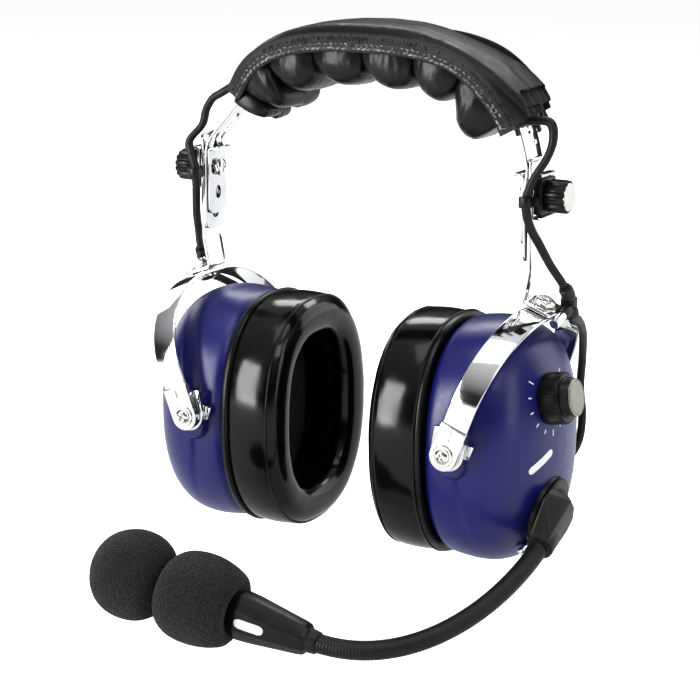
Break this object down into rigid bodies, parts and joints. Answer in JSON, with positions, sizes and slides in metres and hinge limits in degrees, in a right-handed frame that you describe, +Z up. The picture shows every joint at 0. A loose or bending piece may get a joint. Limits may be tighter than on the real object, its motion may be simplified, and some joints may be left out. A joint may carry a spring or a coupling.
{
  "type": "aviation headset",
  "caption": "Passive aviation headset: padded spring headband, clamped slider arms, yokes, oval ear cups with vinyl seals, and a flexible microphone boom with foam windscreens.",
  "frame": {"origin": "middle of the flat land in the centre groove of the head pad, where the headset rests on the crown of the head", "axes": "+Z up, +X towards the cup that carries the boom (the wearer's left), -Y forwards"},
  "size_m": [0.2044, 0.1827, 0.2528],
  "materials": {
    "chrome": "polished nickel-chrome plate",
    "black": "satin black moulded plastic",
    "shell": "satin deep blue moulded plastic",
    "vinyl": "glossy black vinyl skin over foam",
    "leather": "satin black leatherette",
    "foam": "open-cell black foam",
    "cable": "satin black cable jacket",
    "steel": "bright steel"
  },
  "bodies": {
    "headband": {"headband_spring": "chrome", "headband_cover": "leather", "head_pad": "leather", "bridge_cable": "cable"},
    "arm_left": {"slider_arm_left": "chrome", "slider_keeper_left": "chrome", "clamp_cradle_left": "chrome", "clamp_block_left": "black", "clamp_screw_left": "steel", "arm_cable_left": "cable", "yoke_bolt_left": "steel"},
    "clamp_knob_left": {"clamp_knob_left": "black"},
    "yoke_left": {"yoke_left": "chrome", "yoke_end_front_left": "chrome", "yoke_end_rear_left": "chrome", "cable_guide_left": "black", "cup_cable_left": "cable"},
    "cup_left": {"cup_shell_left": "shell", "seal_plate_left": "black", "ear_seal_left": "vinyl", "filter_foam_left": "foam", "driver_left": "black", "pivot_bracket_front_left": "chrome", "pivot_bracket_rear_left": "chrome", "pivot_screw_front_left": "steel", "pivot_screw_rear_left": "steel", "balance_pot": "steel", "boom_base": "black", "boom_pin": "steel"},
    "arm_right": {"slider_arm_right": "chrome", "slider_keeper_right": "chrome", "clamp_cradle_right": "chrome", "clamp_block_right": "black", "clamp_screw_right": "steel", "arm_cable_right": "cable", "yoke_bolt_right": "steel"},
    "clamp_knob_right": {"clamp_knob_right": "black"},
    "yoke_right": {"yoke_right": "chrome", "yoke_end_front_right": "chrome", "yoke_end_rear_right": "chrome", "cable_guide_right": "black", "cup_cable_right": "cable"},
    "cup_right": {"cup_shell_right": "shell", "seal_plate_right": "black", "ear_seal_right": "vinyl", "filter_foam_right": "foam", "driver_right": "black", "pivot_bracket_front_right": "chrome", "pivot_bracket_rear_right": "chrome", "pivot_screw_front_right": "steel", "pivot_screw_rear_right": "steel"},
    "balance_knob": {"balance_knob": "black"},
    "boom": {"boom_mount": "black", "gooseneck_root": "black"},
    "mic": {"gooseneck_tip": "black", "mic_body": "black", "mic_capsule": "steel", "foam_rear": "foam", "foam_tip": "foam"}
  },
  "joints": [
    {"name": "arm_slide_left", "type": "slide", "parent": "headband", "child": "arm_left", "axis": [0, 0, -1], "range_m": [0, 0.02]},
    {"name": "clamp_turn_left", "type": "hinge", "parent": "arm_left", "child": "clamp_knob_left", "pos_m": [0.087, 0, -0.0459], "axis": [1, 0, 0], "range_deg": [-540, 540]},
    {"name": "yoke_swivel_left", "type": "hinge", "parent": "arm_left", "child": "yoke_left", "pos_m": [0.0852, 0, -0.09405], "axis": [0.3584, 0, 0.9336], "range_deg": [-10, 10], "deforming": ["arm_cable_left"]},
    {"name": "cup_tilt_left", "type": "hinge", "parent": "yoke_left", "child": "cup_left", "pos_m": [0.06399, 0, -0.14932], "axis": [0, 1, 0], "range_deg": [-8, 8], "deforming": ["cup_cable_left"]},
    {"name": "arm_slide_right", "type": "slide", "parent": "headband", "child": "arm_right", "axis": [0, 0, -1], "range_m": [0, 0.02]},
    {"name": "clamp_turn_right", "type": "hinge", "parent": "arm_right", "child": "clamp_knob_right", "pos_m": [-0.087, 0, -0.0459], "axis": [-1, 0, 0], "range_deg": [-540, 540]},
    {"name": "yoke_swivel_right", "type": "hinge", "parent": "arm_right", "child": "yoke_right", "pos_m": [-0.0852, 0, -0.09405], "axis": [-0.3584, 0, 0.9336], "range_deg": [-10, 10], "deforming": ["arm_cable_right"]},
    {"name": "cup_tilt_right", "type": "hinge", "parent": "yoke_right", "child": "cup_right", "pos_m": [-0.06399, 0, -0.14932], "axis": [0, -1, 0], "range_deg": [-8, 8], "deforming": ["cup_cable_right"]},
    {"name": "balance_turn", "type": "hinge", "parent": "cup_left", "child": "balance_knob", "pos_m": [0.0953, -0.009, -0.1305], "axis": [0.9848, 0, 0.1736], "range_deg": [-140, 140]},
    {"name": "boom_swing", "type": "hinge", "parent": "cup_left", "child": "boom", "pos_m": [0.0944, -0.006, -0.1815], "axis": [-0.9781, 0, 0.2079], "range_deg": [-15, 40]},
    {"name": "gooseneck_bend", "type": "hinge", "parent": "boom", "child": "mic", "pos_m": [0.07828, -0.0779, -0.21475], "axis": [-0.049, 0.461, -0.886], "range_deg": [-22, 4]}
  ]
}
